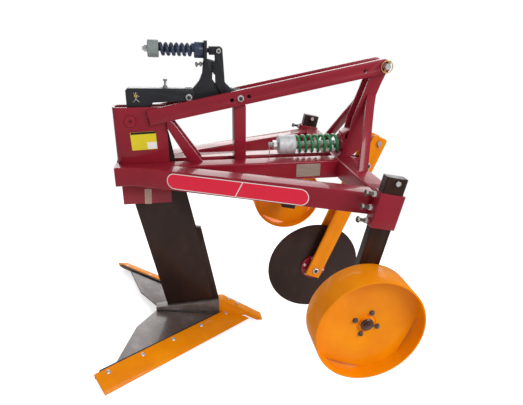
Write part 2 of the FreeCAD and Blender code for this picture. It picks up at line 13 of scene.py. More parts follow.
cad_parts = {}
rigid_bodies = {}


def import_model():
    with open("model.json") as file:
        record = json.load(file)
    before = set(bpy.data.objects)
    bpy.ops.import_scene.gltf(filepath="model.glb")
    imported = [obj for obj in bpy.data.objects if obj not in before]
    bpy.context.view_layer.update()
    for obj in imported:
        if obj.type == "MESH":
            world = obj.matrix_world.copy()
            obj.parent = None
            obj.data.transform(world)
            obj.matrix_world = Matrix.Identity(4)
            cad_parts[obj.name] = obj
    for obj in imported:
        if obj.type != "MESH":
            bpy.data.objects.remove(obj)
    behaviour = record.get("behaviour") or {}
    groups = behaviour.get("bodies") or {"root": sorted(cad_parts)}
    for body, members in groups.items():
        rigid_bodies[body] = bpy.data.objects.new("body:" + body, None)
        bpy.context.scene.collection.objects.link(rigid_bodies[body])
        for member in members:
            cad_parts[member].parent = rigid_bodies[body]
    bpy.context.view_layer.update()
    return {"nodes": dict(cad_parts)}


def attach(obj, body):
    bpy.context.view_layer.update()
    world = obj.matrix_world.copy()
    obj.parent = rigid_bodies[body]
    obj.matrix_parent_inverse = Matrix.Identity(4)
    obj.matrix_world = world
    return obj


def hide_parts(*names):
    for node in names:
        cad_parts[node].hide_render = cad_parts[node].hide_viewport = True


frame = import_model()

# %% [markdown]
# ## The machine's own frame
# A fitter measures this machine with its beams level, x forward from the rear of the frame, y to the left
# and z up from the wheels, in millimetres. It is parked nose up on its share, though. Pieces are drawn in
# the level frame, where numbers are simple, and one matrix then sets each on the parked machine.

# %% Parked stance
MM = 0.001
NOSE_UP = 6.852941
SHIFT = Vector((-504.2526, 0.0, 142.3867))
STANCE = Matrix.Translation(SHIFT * MM) @ Matrix.Rotation(radians(-NOSE_UP), 4, "Y")


def parked(x, y, z):
    return STANCE @ (Vector((x, y, z)) * MM)


print("rear of the frame stands at", parked(0, 0, 601))

# %% [markdown]
# ## Camera
# The picture was taken from the machine's right, opposite its rear half and from above the beams. The place
# and lens below were solved with usual sizes for the disc and the tubes, so the camera stands in the level
# frame too and goes through the same matrix.

# %% Camera
EYE = Vector((271.849, -1907.935, 1216.195))
YAW, PITCH, ROLL = 0.181930, 0.389724, 0.015034
FOCAL_PX, WIDTH_PX, SENSOR_MM = 454.064, 523.0, 36.0
ahead = Vector((sin(YAW) * cos(PITCH), cos(YAW) * cos(PITCH), -sin(PITCH)))
right = Vector((cos(YAW), -sin(YAW), 0.0))
over = right.cross(ahead)
side_axis = cos(ROLL) * right + sin(ROLL) * over
up_axis = cos(ROLL) * over - sin(ROLL) * right
turn = Matrix((side_axis, up_axis, -ahead)).transposed().to_4x4()
lens = bpy.data.cameras.new("photo_camera")
lens.sensor_width = SENSOR_MM
lens.lens = FOCAL_PX / WIDTH_PX * SENSOR_MM
camera = bpy.data.objects.new("photo_camera", lens)
bpy.context.scene.collection.objects.link(camera)
camera.matrix_world = STANCE @ Matrix.Translation(EYE * MM) @ turn
bpy.context.scene.camera = camera
print("camera lens", round(lens.lens, 2), "mm")

# %% [markdown]
# ## Colours and one helper for nodes
# Paint makers and screens both give colours as sRGB hex values, while the shader works on linear light.
# One function turns the first into the second. A second small function adds any node with its settings
# and links, so that each material below reads as a list of what it is made from.

# %% Colour and node helpers
def linear(hex_value):
    parts = [int(hex_value[i:i + 2], 16) / 255 for i in (0, 2, 4)]
    return [p / 12.92 if p <= 0.04045 else ((p + 0.055) / 1.055) ** 2.4 for p in parts] + [1.0]


def add(tree, kind, links=(), **settings):
    node = tree.nodes.new(kind)
    for key, value in settings.items():
        socket = node.inputs.get(key.replace("_", " ")) if key[0].isupper() else None
        if socket is not None:
            socket.default_value = value
        else:
            setattr(node, key, value)
    for name, source in dict(links).items():
        tree.links.new(source, node.inputs[name])
    return node


def ramp(tree, factor, stops):
    node = add(tree, "ShaderNodeValToRGB", {"Fac": factor})
    while len(node.color_ramp.elements) < len(stops):
        node.color_ramp.elements.new(0.5)
    for element, (place, colour) in zip(node.color_ramp.elements, stops):
        element.position = place
        element.color = linear(colour) if isinstance(colour, str) else [colour] * 3 + [1.0]
    return node


def blank(name):
    material = bpy.data.materials.new(name)
    material.use_nodes = True
    tree = material.node_tree
    tree.nodes.clear()
    where = add(tree, "ShaderNodeTexCoord").outputs["Object"]
    shader = add(tree, "ShaderNodeBsdfPrincipled")
    add(tree, "ShaderNodeOutputMaterial", {"Surface": shader.outputs["BSDF"]})
    return material, tree, where, shader


MATERIALS = {}
print("helpers ready; maroon is", [round(c, 3) for c in linear("8E1F2C")[:3]])

# %% [markdown]
# ## Enamel
# The frame, wheels, blades, toggle and springs are sprayed with gloss alkyd enamel straight over blasted
# steel. It gives the eye a strong flat colour, a wet clear reflection of the sky on every upward face, and
# a slight waviness where the film flowed. A coat layer carries the reflection, a noise of about 120 mm
# shifts the colour a little, and a bump of 14 mm waves stands in for orange peel, which is really about
# 2 mm wide and would not show at this size.

# %% Enamel finishes
def enamel(name, colour, deep, roughness=0.32, coat=0.7, wave=0.10, mirror=0.25):
    material, tree, where, shader = blank(name)
    cloud = add(tree, "ShaderNodeTexNoise", {"Vector": where}, Scale=8.0, Detail=3.0, Roughness=0.55)
    tone = ramp(tree, cloud.outputs["Fac"], [(0.30, deep), (0.62, colour)])
    tree.links.new(tone.outputs["Color"], shader.inputs["Base Color"])
    gloss = ramp(tree, cloud.outputs["Fac"], [(0.3, roughness + 0.06), (0.7, roughness - 0.04)])
    tree.links.new(gloss.outputs["Color"], shader.inputs["Roughness"])
    flow = add(tree, "ShaderNodeTexNoise", {"Vector": where}, Scale=70.0, Detail=2.0)
    peel = add(tree, "ShaderNodeBump", {"Height": flow.outputs["Fac"]}, Strength=wave, Distance=0.002)
    tree.links.new(peel.outputs["Normal"], shader.inputs["Normal"])
    shader.inputs["Specular IOR Level"].default_value = mirror
    shader.inputs["Coat Weight"].default_value = coat
    shader.inputs["Coat Roughness"].default_value = 0.05
    MATERIALS[name] = material
    return material


enamel("maroon_enamel", "921A2C", "861627", 0.34, 0.42)
enamel("orange_enamel", "F49200", "E98400", 0.40, 0.14, 0.08, 0.10)
enamel("black_enamel", "2B2C31", "212226", 0.38, 0.30)
enamel("blue_spring_enamel", "3A4860", "2A3549", 0.40, 0.30)
enamel("green_spring_enamel", "2C8F58", "1F7A48", 0.36, 0.40)
enamel("hub_cap_enamel", "4A2A20", "351C15", 0.30, 0.6)
print(len(MATERIALS), "enamels")

# %% [markdown]
# ## Oiled and rolled steel
# Shank, legs and disc are spring steel dipped in a dark brown preservative, which dries to a thin satin
# film with faint lighter rubs. The wing plates and the share bar are bare hot-rolled plate: grey mill scale
# with brown patches and pale specks. Large noises make the rubs and patches, and a fine one the grain, drawn
# at 5 mm because the real grain of under 1 mm would not show.

# %% Steel finishes
def dipped_steel(name, colour, deep, rub):
    material, tree, where, shader = blank(name)
    stretch = add(tree, "ShaderNodeMapping", {"Vector": where}, Scale=(3.0, 9.0, 1.6))
    streak = add(tree, "ShaderNodeTexNoise", {"Vector": stretch.outputs["Vector"]},
                 Scale=4.0, Detail=5.0, Roughness=0.6)
    tone = ramp(tree, streak.outputs["Fac"], [(0.28, deep), (0.55, colour), (0.80, rub)])
    grain = add(tree, "ShaderNodeTexNoise", {"Vector": where}, Scale=190.0, Detail=2.0)
    speck = ramp(tree, grain.outputs["Fac"], [(0.35, 0.86), (0.70, 1.0)])
    mixed = add(tree, "ShaderNodeMix", data_type="RGBA", blend_type="MULTIPLY")
    mixed.inputs["Factor"].default_value = 1.0
    tree.links.new(tone.outputs["Color"], mixed.inputs["A"])
    tree.links.new(speck.outputs["Color"], mixed.inputs["B"])
    tree.links.new(mixed.outputs["Result"], shader.inputs["Base Color"])
    sheen = ramp(tree, streak.outputs["Fac"], [(0.3, 0.46), (0.75, 0.32)])
    tree.links.new(sheen.outputs["Color"], shader.inputs["Roughness"])
    bump = add(tree, "ShaderNodeBump", {"Height": grain.outputs["Fac"]}, Strength=0.12, Distance=0.001)
    tree.links.new(bump.outputs["Normal"], shader.inputs["Normal"])
    shader.inputs["Specular IOR Level"].default_value = 0.3
    shader.inputs["Coat Weight"].default_value = 0.10
    shader.inputs["Coat Roughness"].default_value = 0.18
    MATERIALS[name] = material


def mill_scale(name):
    material, tree, where, shader = blank(name)
    patch = add(tree, "ShaderNodeTexNoise", {"Vector": where}, Scale=9.0, Detail=6.0, Roughness=0.62)
    tone = ramp(tree, patch.outputs["Fac"], [(0.30, "51433F"), (0.52, "62554F"), (0.72, "7E7474")])
    grain = add(tree, "ShaderNodeTexNoise", {"Vector": where}, Scale=210.0, Detail=3.0, Roughness=0.7)
    speck = ramp(tree, grain.outputs["Fac"], [(0.34, 0.70), (0.52, 1.0), (0.70, 1.25)])
    mixed = add(tree, "ShaderNodeMix", data_type="RGBA", blend_type="MULTIPLY")
    mixed.inputs["Factor"].default_value = 1.0
    tree.links.new(tone.outputs["Color"], mixed.inputs["A"])
    tree.links.new(speck.outputs["Color"], mixed.inputs["B"])
    tree.links.new(mixed.outputs["Result"], shader.inputs["Base Color"])
    sheen = ramp(tree, patch.outputs["Fac"], [(0.3, 0.52), (0.7, 0.34)])
    tree.links.new(sheen.outputs["Color"], shader.inputs["Roughness"])
    bump = add(tree, "ShaderNodeBump", {"Height": grain.outputs["Fac"]}, Strength=0.25, Distance=0.0012)
    tree.links.new(bump.outputs["Normal"], shader.inputs["Normal"])
    shader.inputs["Coat Weight"].default_value = 0.6
    shader.inputs["Coat Roughness"].default_value = 0.14
    MATERIALS[name] = material


dipped_steel("brown_dipped_steel", "2E1811", "25120C", "3E2418")
mill_scale("mill_scale_plate")
print("steels ready")

# %% [markdown]
# ## Plated and turned small parts
# Bolts, pins and rods are zinc plated, a soft grey-white metal with duller patches. The head pin, the lynch
# pin and its ring are yellow chromated zinc, and bolt shanks are oiled steel. The two spring caps are turned
# steel under a grey primer, the trip spring's darker and greener. Metals keep the default IOR, and the
# patches of about 20 mm come from noise.

# %% Plated finishes
def plated(name, colour, dull, roughness, metallic=1.0):
    material, tree, where, shader = blank(name)
    patch = add(tree, "ShaderNodeTexNoise", {"Vector": where}, Scale=55.0, Detail=4.0, Roughness=0.6)
    tone = ramp(tree, patch.outputs["Fac"], [(0.32, dull), (0.60, colour)])
    tree.links.new(tone.outputs["Color"], shader.inputs["Base Color"])
    sheen = ramp(tree, patch.outputs["Fac"], [(0.3, roughness + 0.12), (0.7, roughness)])
    tree.links.new(sheen.outputs["Color"], shader.inputs["Roughness"])
    bump = add(tree, "ShaderNodeBump", {"Height": patch.outputs["Fac"]}, Strength=0.08, Distance=0.001)
    tree.links.new(bump.outputs["Normal"], shader.inputs["Normal"])
    shader.inputs["Metallic"].default_value = metallic
    MATERIALS[name] = material


plated("zinc_plate", "E2E3E2", "B2B3B2", 0.30, 0.55)
plated("dark_zinc", "7A736C", "504A46", 0.34, 0.6)
plated("yellow_zinc", "DCC27A", "A98F50", 0.30, 0.55)
plated("dull_zinc", "B4B4B2", "858583", 0.34, 0.6)
plated("oiled_steel", "46413E", "2C2927", 0.38, 0.4)
plated("grey_primer", "D8DADD", "B8BBBE", 0.40, 0.15)
plated("green_grey_primer", "8E9896", "7F8A88", 0.42, 0.15)
print("plated finishes ready")

# %% [markdown]
# ## Labels
# The labels are self-adhesive vinyl, a rolled aluminium plate and a scrap of masking tape. Vinyl is even
# and fairly glossy, so one noise for a faint unevenness is enough. The aluminium gets fine rolling lines
# along its length. All are left blank.

# %% Label finishes
def vinyl(name, colour, roughness=0.32, grain=0.04):
    material, tree, where, shader = blank(name)
    cloud = add(tree, "ShaderNodeTexNoise", {"Vector": where}, Scale=60.0, Detail=3.0)
    level = ramp(tree, cloud.outputs["Fac"], [(0.3, 1.0 - grain), (0.7, 1.0)])
    mixed = add(tree, "ShaderNodeMix", {"B": level.outputs["Color"]}, data_type="RGBA", blend_type="MULTIPLY")
    mixed.inputs["Factor"].default_value = 1.0
    mixed.inputs["A"].default_value = linear(colour)
    tree.links.new(mixed.outputs["Result"], shader.inputs["Base Color"])
    bump = add(tree, "ShaderNodeBump", {"Height": cloud.outputs["Fac"]}, Strength=grain, Distance=0.001)
    tree.links.new(bump.outputs["Normal"], shader.inputs["Normal"])
    shader.inputs["Roughness"].default_value = roughness
    MATERIALS[name] = material


def rolled_aluminium(name):
    material, tree, where, shader = blank(name)
    lines = add(tree, "ShaderNodeMapping", {"Vector": where}, Scale=(4.0, 4.0, 260.0))
    grain = add(tree, "ShaderNodeTexNoise", {"Vector": lines.outputs["Vector"]}, Scale=3.0, Detail=2.0)
    tone = ramp(tree, grain.outputs["Fac"], [(0.3, "A4968A"), (0.7, "C8BBAE")])
    tree.links.new(tone.outputs["Color"], shader.inputs["Base Color"])
    shader.inputs["Metallic"].default_value = 0.6
    shader.inputs["Roughness"].default_value = 0.42
    MATERIALS[name] = material


vinyl("red_vinyl", "E8143C")
vinyl("white_vinyl", "F3F0EE")
vinyl("yellow_vinyl", "E6D21E")
vinyl("black_vinyl", "1D1B1A")
vinyl("masking_tape", "B79F8C", 0.75, 0.14)
rolled_aluminium("aluminium_plate")
print(len(MATERIALS), "materials")

# %% [markdown]
# ## Working on one mesh at a time
# Blender's operators act on whatever is selected, and loading leaves every CAD node selected. So one helper
# makes only the named objects selected, a second picks faces by their place or normal, and a third applies a
# modifier as soon as it is set. The others set a piece in its place, copy it, join it and give it its paint.

# %% Selection and modifier helpers
def only(*objects):
    if bpy.context.object and bpy.context.object.mode != "OBJECT":
        bpy.ops.object.mode_set(mode="OBJECT")
    bpy.ops.object.select_all(action="DESELECT")
    for obj in objects:
        obj.select_set(True)
    bpy.context.view_layer.objects.active = objects[0]


def pick(obj, test):
    only(obj)
    bpy.ops.object.mode_set(mode="EDIT")
    bpy.ops.mesh.select_mode(type="FACE")
    bpy.ops.mesh.select_all(action="DESELECT")
    bpy.ops.object.mode_set(mode="OBJECT")
    for face in obj.data.polygons:
        face.select = test(face.center, face.normal)
    bpy.ops.object.mode_set(mode="EDIT")


def modify(obj, kind, **settings):
    only(obj)
    bpy.ops.object.modifier_add(type=kind)
    modifier = obj.modifiers[-1]
    for key, value in settings.items():
        setattr(modifier, key, value)
    bpy.ops.object.modifier_apply(modifier=modifier.name)


def smooth(obj, angle=34):
    only(obj)
    bpy.ops.object.shade_smooth_by_angle(angle=radians(angle))


def place(obj, at, along=(0, 0, 1), spin=0.0):
    # a piece drawn on the z axis goes to a point of the level machine, its z axis turned to that direction
    tilt = Vector((0, 0, 1)).rotation_difference(Vector(along).normalized()).to_matrix().to_4x4()
    spot = STANCE @ Matrix.Translation(Vector(at) * MM)
    obj.matrix_world = spot @ tilt @ Matrix.Rotation(radians(spin), 4, "Z")
    only(obj)
    bpy.ops.object.transform_apply(location=True, rotation=True, scale=True)
    return obj


def raised(obj, height):
    only(obj)
    bpy.ops.transform.translate(value=(0, 0, height * MM))
    bpy.ops.object.transform_apply(location=True)
    return obj


def copies(master, spots):
    # one piece drawn on the z axis goes to every spot, each copy with its own mesh; it takes the last itself
    parts = []
    for at, along, spin in spots[:-1]:
        only(master)
        bpy.ops.object.duplicate()
        parts.append(place(bpy.context.object, at, along, spin))
    parts.append(place(master, *spots[-1]))
    return parts


def named(name, piece):
    piece.name = piece.data.name = name
    return piece


def join(name, parts):
    only(*parts)
    if len(parts) > 1:
        bpy.ops.object.join()
    return named(name, bpy.context.object)


def dress(piece, material, slot, body, *nodes):
    piece.data.materials.clear()
    piece.data.materials.append(MATERIALS[material])
    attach(piece, body)
    if nodes:
        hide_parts(*nodes)
    return piece


print("helpers for meshes ready")

# %% [markdown]
# ## Plates, tubes and the share with softened edges
# Flame-cut plate and rolled tube never have a razor edge: the edge is ground and painted, and that round of
# a millimetre or two is what catches the light as a fine bright line. A CAD node is loose triangles, so a
# copy is merged, its flat faces are cleaned, and a Bevel modifier rounds what is sharper than 30 degrees.

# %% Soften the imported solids
SAME_POINT = 0.00002
FLAT, SHARP = radians(0.6), radians(30)


def round_edges(piece, width):
    modify(piece, "BEVEL", width=width * MM, segments=2, limit_method="ANGLE", angle_limit=SHARP)
    smooth(piece)


def soften(node, material, slot, width, body="frame", change=None):
    only(frame["nodes"][node])
    bpy.ops.object.duplicate()
    piece = bpy.context.object
    for key in [k for k in piece.keys() if k.startswith("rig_")]:
        del piece[key]
    bpy.ops.object.parent_clear(type="CLEAR_KEEP_TRANSFORM")
    piece.name = piece.data.name = node + "_finished"
    if piece.data.has_custom_normals:
        bpy.ops.mesh.customdata_custom_splitnormals_clear()
    bpy.ops.object.mode_set(mode="EDIT")
    bpy.ops.mesh.select_all(action="SELECT")
    bpy.ops.mesh.remove_doubles(threshold=SAME_POINT)
    bpy.ops.mesh.dissolve_limited(angle_limit=FLAT)
    bpy.ops.object.mode_set(mode="OBJECT")
    if change:
        change(piece)
        bpy.ops.object.mode_set(mode="OBJECT")
    round_edges(piece, width)
    return dress(piece, material, slot, body, node)


# the left blade's three corners: rear and front of its outer end, and its front at the nose
BLADE_TAIL = Vector((-105, 444, -87))
BLADE_TIP = Vector((-58, 503, -126))
BLADE_NOSE = Vector((562, 30, -193))
BLADE_RUN = (BLADE_NOSE - BLADE_TIP).normalized()
BLADE_CROSS = BLADE_TIP - BLADE_TAIL
BLADE_CROSS = (BLADE_CROSS - BLADE_RUN * BLADE_CROSS.dot(BLADE_RUN)).normalized()
BLADE_BACK = {}
for side in (-1, 1):
    BLADE_BACK[side] = STANCE.to_3x3() @ Vector((-BLADE_CROSS.x, -BLADE_CROSS.y * side, -BLADE_CROSS.z))
# the photograph's rear edge lies about 6 mm further back at the outer end and 22 mm at the inner, so the
# straight edge takes a compromise, which leaves 0.6 px outside and 2.4 px inside
BLADE_SHIFT = 9


def wider_blade(piece):
    for side in (-1, 1):
        pick(piece, lambda centre, normal: centre.y * side > 0 and normal.dot(BLADE_BACK[side]) > 0.95)
        bpy.ops.transform.translate(value=BLADE_BACK[side] * BLADE_SHIFT * MM)


SOFT_PLATES = [
    # node, finish, slot, edge round in mm
    ("side_beam_left", "maroon_enamel", "red_paint", 1.2),
    ("side_beam_right", "maroon_enamel", "red_paint", 1.2),
    ("central_beams", "maroon_enamel", "red_paint", 1.2),
    ("cross_beam", "maroon_enamel", "red_paint", 1.2),
    ("mast", "maroon_enamel", "red_paint", 1.2),
    ("lower_brackets", "maroon_enamel", "red_paint", 1.2),
    ("top_bars", "maroon_enamel", "red_paint", 1.5),
    ("post", "maroon_enamel", "red_paint", 1.0),
    ("struts", "maroon_enamel", "red_paint", 1.2),
    ("spring_seat", "maroon_enamel", "red_paint", 1.0),
    ("front_stays", "maroon_enamel", "red_paint", 1.2),
    ("link_lugs", "maroon_enamel", "red_paint", 1.2),
    ("pivot_lugs", "maroon_enamel", "red_paint", 1.0),
    ("rear_link", "black_enamel", "black_paint", 1.2),
    ("toggle_lever", "black_enamel", "black_paint", 1.2),
    ("spring_arms", "black_enamel", "black_paint", 1.2),
    ("shank", "brown_dipped_steel", "dark_paint", 1.5),
    ("shin_strip", "brown_dipped_steel", "dark_paint", 1.5),
    ("coulter_bars", "orange_enamel", "yellow_paint", 1.2),
    ("coulter_web", "orange_enamel", "yellow_paint", 1.0),
    ("point", "orange_enamel", "yellow_paint", 1.5),
    ("wing_plates", "mill_scale_plate", "mill_steel", 0.8),
    ("shank_pivot", "maroon_enamel", "red_paint", 0.8),
]
for node, material, slot, width in SOFT_PLATES:
    soften(node, material, slot, width)
soften("leg_sleeves", "maroon_enamel", "red_paint", 1.6)
soften("blades", "orange_enamel", "yellow_paint", 0.8, "frame", wider_blade)
for side in ("left", "right"):
    soften("wheel_leg_" + side, "brown_dipped_steel", "dark_paint", 1.5, "leg_" + side)
    soften("wheel_" + side, "orange_enamel", "yellow_paint", 1.5, "wheel_" + side)
    soften("wheel_hub_" + side, "orange_enamel", "yellow_paint", 1.5, "wheel_" + side)
print(len(SOFT_PLATES) + 8, "nodes softened")

# %% [markdown]
# ## Gussets and share bar cut to the photograph
# A flame-cut plate is an outline with a thickness. The outline is walked point by point, filled, extruded
# and given its edge round. The photograph shows the gusset filled out towards the stay, so it keeps its
# solid's rear edge and head and gets a new front edge, partly guessed where the stay hides it. The share bar
# is deeper, to close on the wing plates, with a lower edge that is a guess because the plates hide it. Its
# nose is sprayed with the blades.

# %% Cut plates
def seed(name, at):
    # one point to extrude from: a tiny plane merged at its centre
    bpy.ops.object.select_all(action="DESELECT")
    bpy.ops.mesh.primitive_plane_add(size=MM, location=Vector(at) * MM)
    piece = bpy.context.object
    piece.name = name
    bpy.ops.object.transform_apply(location=True)
    bpy.ops.object.mode_set(mode="EDIT")
    bpy.ops.mesh.select_mode(type="VERT")
    bpy.ops.mesh.select_all(action="SELECT")
    bpy.ops.mesh.merge(type="CENTER")
    return piece


def face_out():
    # the last step in edit mode: every normal of the piece is turned outwards
    bpy.ops.mesh.select_all(action="SELECT")
    bpy.ops.mesh.normals_make_consistent(inside=False)
    bpy.ops.object.mode_set(mode="OBJECT")


def cut_plate(name, outline, y0, y1, width):
    piece = seed(name, (outline[0][0], y0, outline[0][1]))
    for before, after in zip(outline, outline[1:]):
        stride = (after[0] - before[0], 0, after[1] - before[1])
        bpy.ops.mesh.extrude_region_move(TRANSFORM_OT_translate={"value": Vector(stride) * MM})
    bpy.ops.mesh.select_all(action="SELECT")
    bpy.ops.mesh.edge_face_add()
    bpy.ops.mesh.extrude_region_move(TRANSFORM_OT_translate={"value": (0, (y1 - y0) * MM, 0)})
    face_out()
    round_edges(piece, width)
    return piece


BEAM_TOP, CROSS_REAR, CROSS_FRONT = 641, 942, 1022
HITCH_X, HITCH_Z, EYE_R = 1133.6, 1028.7, 24
REAR_EDGE = [
    # forward of the cross beam's rear face, above the beam: as on the solid
    (19, 0), (34, 7), (38.5, 17), (39, 61), (55, 76), (65, 116), (74, 170), (106, 256),
]
FRONT_EDGE = [
    # x, z from the eye down: the first two points and the last are the solid's own to 1 mm
    (1128, 954), (1112, 908),
    # two guesses behind the stay, and then two that were read off the photograph
    (1108, 830), (1102, 712), (1062, 671), (1036, 646),
    (CROSS_FRONT, BEAM_TOP),
]
GUSSET = [(CROSS_REAR + dx, BEAM_TOP + dz) for dx, dz in REAR_EDGE] + [(HITCH_X - 61.6, HITCH_Z - 57.7)]
for angle in range(220, -31, -25):
    GUSSET.append((HITCH_X + EYE_R * cos(radians(angle)), HITCH_Z + EYE_R * sin(radians(angle))))
GUSSET += FRONT_EDGE
gusset = cut_plate("gusset_cut", GUSSET, -38, -28, 1.2)
GUSSET_STEP = 66
spots = [((0, y, 0), (0, 0, 1), 0) for y in (GUSSET_STEP, 0)]
for word, piece in zip(("left", "right"), copies(gusset, spots)):
    dress(named("gusset_cut_" + word, piece), "maroon_enamel", "red_paint", "frame", "gussets")
BAR_REAR = [(112, -87), (414, -76), (414, -165), (380, -160), (250, -142), (112, -122)]
BAR_NOSE = [(414, -76), (540, -160), (540, -178), (470, -172), (414, -165)]
BAR_HALF = 25
bar = cut_plate("share_bar_cut", BAR_REAR, -BAR_HALF, BAR_HALF, 1.5)
dress(place(bar, (0, 0, 0)), "mill_scale_plate", "mill_steel", "frame", "share_bar")
nose = cut_plate("share_bar_nose_cut", BAR_NOSE, -BAR_HALF, BAR_HALF, 1.0)
dress(place(nose, (0, 0, 0)), "orange_enamel", "yellow_paint", "frame", "share_bar")
print("gussets and share bar cut")

# %% [markdown]
# ## Turned parts
# Caps, pins, hubs and discs are lathe work: a profile turned about an axis. A circle is extruded ring by
# ring, each ring scaled to its radius, which follows the profile exactly and keeps the count of faces low.
# A pin starts from a filled circle, and a sleeve from an open one that comes back to where it started.

# %% Turning helpers
SEAM_MERGE = 0.00001


def lathe(name, rings, sides, fill, kind):
    # rings are (height, radius) in mm
    z, r = rings[0]
    bpy.ops.object.select_all(action="DESELECT")
    bpy.ops.mesh.primitive_circle_add(vertices=sides, radius=r * MM, fill_type=fill, location=(0, 0, z * MM))
    piece = bpy.context.object
    piece.name = name
    bpy.ops.object.transform_apply(location=True)
    bpy.ops.object.mode_set(mode="EDIT")
    bpy.ops.mesh.select_mode(type=kind)
    bpy.ops.mesh.select_all(action="SELECT")
    for next_z, next_r in rings[1:]:
        bpy.ops.mesh.extrude_region_move(TRANSFORM_OT_translate={"value": (0, 0, (next_z - z) * MM)})
        bpy.ops.transform.resize(value=(next_r / r, next_r / r, 1), center_override=(0, 0, next_z * MM))
        z, r = next_z, next_r
    return piece


def turned(name, rings, sides=32):
    # a solid piece, its rings from one end to the other
    piece = lathe(name, rings, sides, "NGON", "FACE")
    face_out()
    smooth(piece)
    return piece


def tube_turned(name, rings, sides=32):
    # a ring or sleeve, its closed profile round the wall, the last corner back to the first
    piece = lathe(name, rings + rings[:1], sides, "NOTHING", "EDGE")
    bpy.ops.mesh.select_all(action="SELECT")
    bpy.ops.mesh.remove_doubles(threshold=SEAM_MERGE)
    face_out()
    smooth(piece)
    return piece


def threads(start, end, radius, pitch=4.0, depth=1.0):
    # a thread drawn as grooves, its real pitch of 1.75 to 2.5 mm coarsened to 4 mm so that it shows
    rings = []
    count = max(2, int((end - start) / pitch))
    for k in range(count):
        rings += [(start + k * pitch, radius - depth), (start + (k + 0.5) * pitch, radius)]
    return rings + [(end, radius - depth)]


TRIP_TAIL, TRIP_EYE = Vector((143, 0, 1095)), Vector((437, 0, 1086))
ROD_TAIL, ROD_PIN = Vector((650, 0, 692)), Vector((1147, 0, 694))


def on_line(a, b, x):
    return a + (b - a) * ((x - a.x) / (b.x - a.x))


trip_way = (TRIP_EYE - TRIP_TAIL).normalized()
rod_way = (ROD_PIN - ROD_TAIL).normalized()
print("rod directions", trip_way, rod_way)

# %% [markdown]
# ## Fasteners
# A bolt here is a turned shank with a hexagon on it, and a nut is a hexagon turned with its bore. A split
# pin is a round bar bent along a few points. With a helper for the hexagon and one for the bent bar, the
# cells that follow say little more than where a part sits and how big it is.

# %% Fastener helpers
def hex_nut(name, across_flats, height, bore=0.0, sides=6):
    # a hexagon with both faces turned down to a round, as every nut and bolt head has
    corner = across_flats / 2 / cos(pi / sides)
    face = corner * 0.88
    rings = [(0, face), (height * 0.14, corner), (height * 0.86, corner), (height, face)]
    if bore:
        rings += [(height, bore), (0, bore)]
        nut = tube_turned(name, rings, sides)
    else:
        nut = turned(name, rings, sides)
    smooth(nut, 20)
    return nut


def bent_rod(name, points, radius, sides=8):
    # round bar bent through a few points: a line with bevelled corners, made a curve and given thickness
    piece = seed(name, points[0])
    for before, after in zip(points, points[1:]):
        stride = Vector(after) - Vector(before)
        bpy.ops.mesh.extrude_region_move(TRANSFORM_OT_translate={"value": stride * MM})
    bpy.ops.mesh.select_all(action="SELECT")
    bpy.ops.mesh.bevel(offset=radius * 1.6 * MM, segments=3, affect="VERTICES")
    bpy.ops.object.mode_set(mode="OBJECT")
    bpy.ops.object.convert(target="CURVE")
    piece.data.bevel_depth = radius * MM
    piece.data.bevel_resolution = 1
    piece.data.use_fill_caps = True
    bpy.ops.object.convert(target="MESH")
    smooth(bpy.context.object, 60)
    return bpy.context.object


NEAR, FAR = (0, -1, 0), (0, 1, 0)
print("fastener helpers ready")

# %% [markdown]
# ## Compression springs
# A spring is one round bar wound on a mandrel, so one circle is swept by a Screw modifier through its turns.
# The trip spring's wire is 14 mm thick, with six and a half turns close together. The coulter's spring is
# more open, and its rod shows through.

# %% Compression springs
def coil_spring(name, first, way, length, wire_r, ring_r, turns):
    bpy.ops.object.select_all(action="DESELECT")
    bpy.ops.mesh.primitive_circle_add(vertices=12, radius=wire_r * MM, fill_type="NOTHING",
                                      location=(ring_r * MM, 0, 0), rotation=(radians(90), 0, 0))
    piece = bpy.context.object
    piece.name = name
    bpy.ops.object.transform_apply(location=True, rotation=True)
    steps = int(36 * turns)
    modify(piece, "SCREW", angle=2 * pi * turns, screw_offset=length * MM, steps=steps, render_steps=steps)
    only(piece)
    bpy.ops.object.mode_set(mode="EDIT")
    bpy.ops.mesh.select_mode(type="EDGE")
    bpy.ops.mesh.select_all(action="DESELECT")
    bpy.ops.mesh.select_non_manifold()
    bpy.ops.mesh.fill_holes(sides=0)
    face_out()
    smooth(piece, 50)
    return place(piece, first, way, 90)


TRIP_COIL = {"length": 134, "wire_r": 7.0, "ring_r": 19.5, "turns": 6.5}
spring = coil_spring("trip_spring_coil", on_line(TRIP_TAIL, TRIP_EYE, 207), trip_way, **TRIP_COIL)
dress(spring, "blue_spring_enamel", "blue_spring", "frame", "trip_spring")
COULTER_COIL = {"length": 199, "wire_r": 6.5, "ring_r": 35.5, "turns": 7}
spring = coil_spring("coulter_spring_coil", on_line(ROD_TAIL, ROD_PIN, 769), rod_way, **COULTER_COIL)
dress(spring, "green_spring_enamel", "green_spring", "frame", "coulter_spring")
print("two springs wound")

# %% [markdown]
# ## Trip rod, cap and cup
# The spring is held between a primed steel cap at the tail and a painted cup against the lever. The rod runs
# through both to an eye on the arm's pin, and a nut on its tail sets the load at which the shank trips.

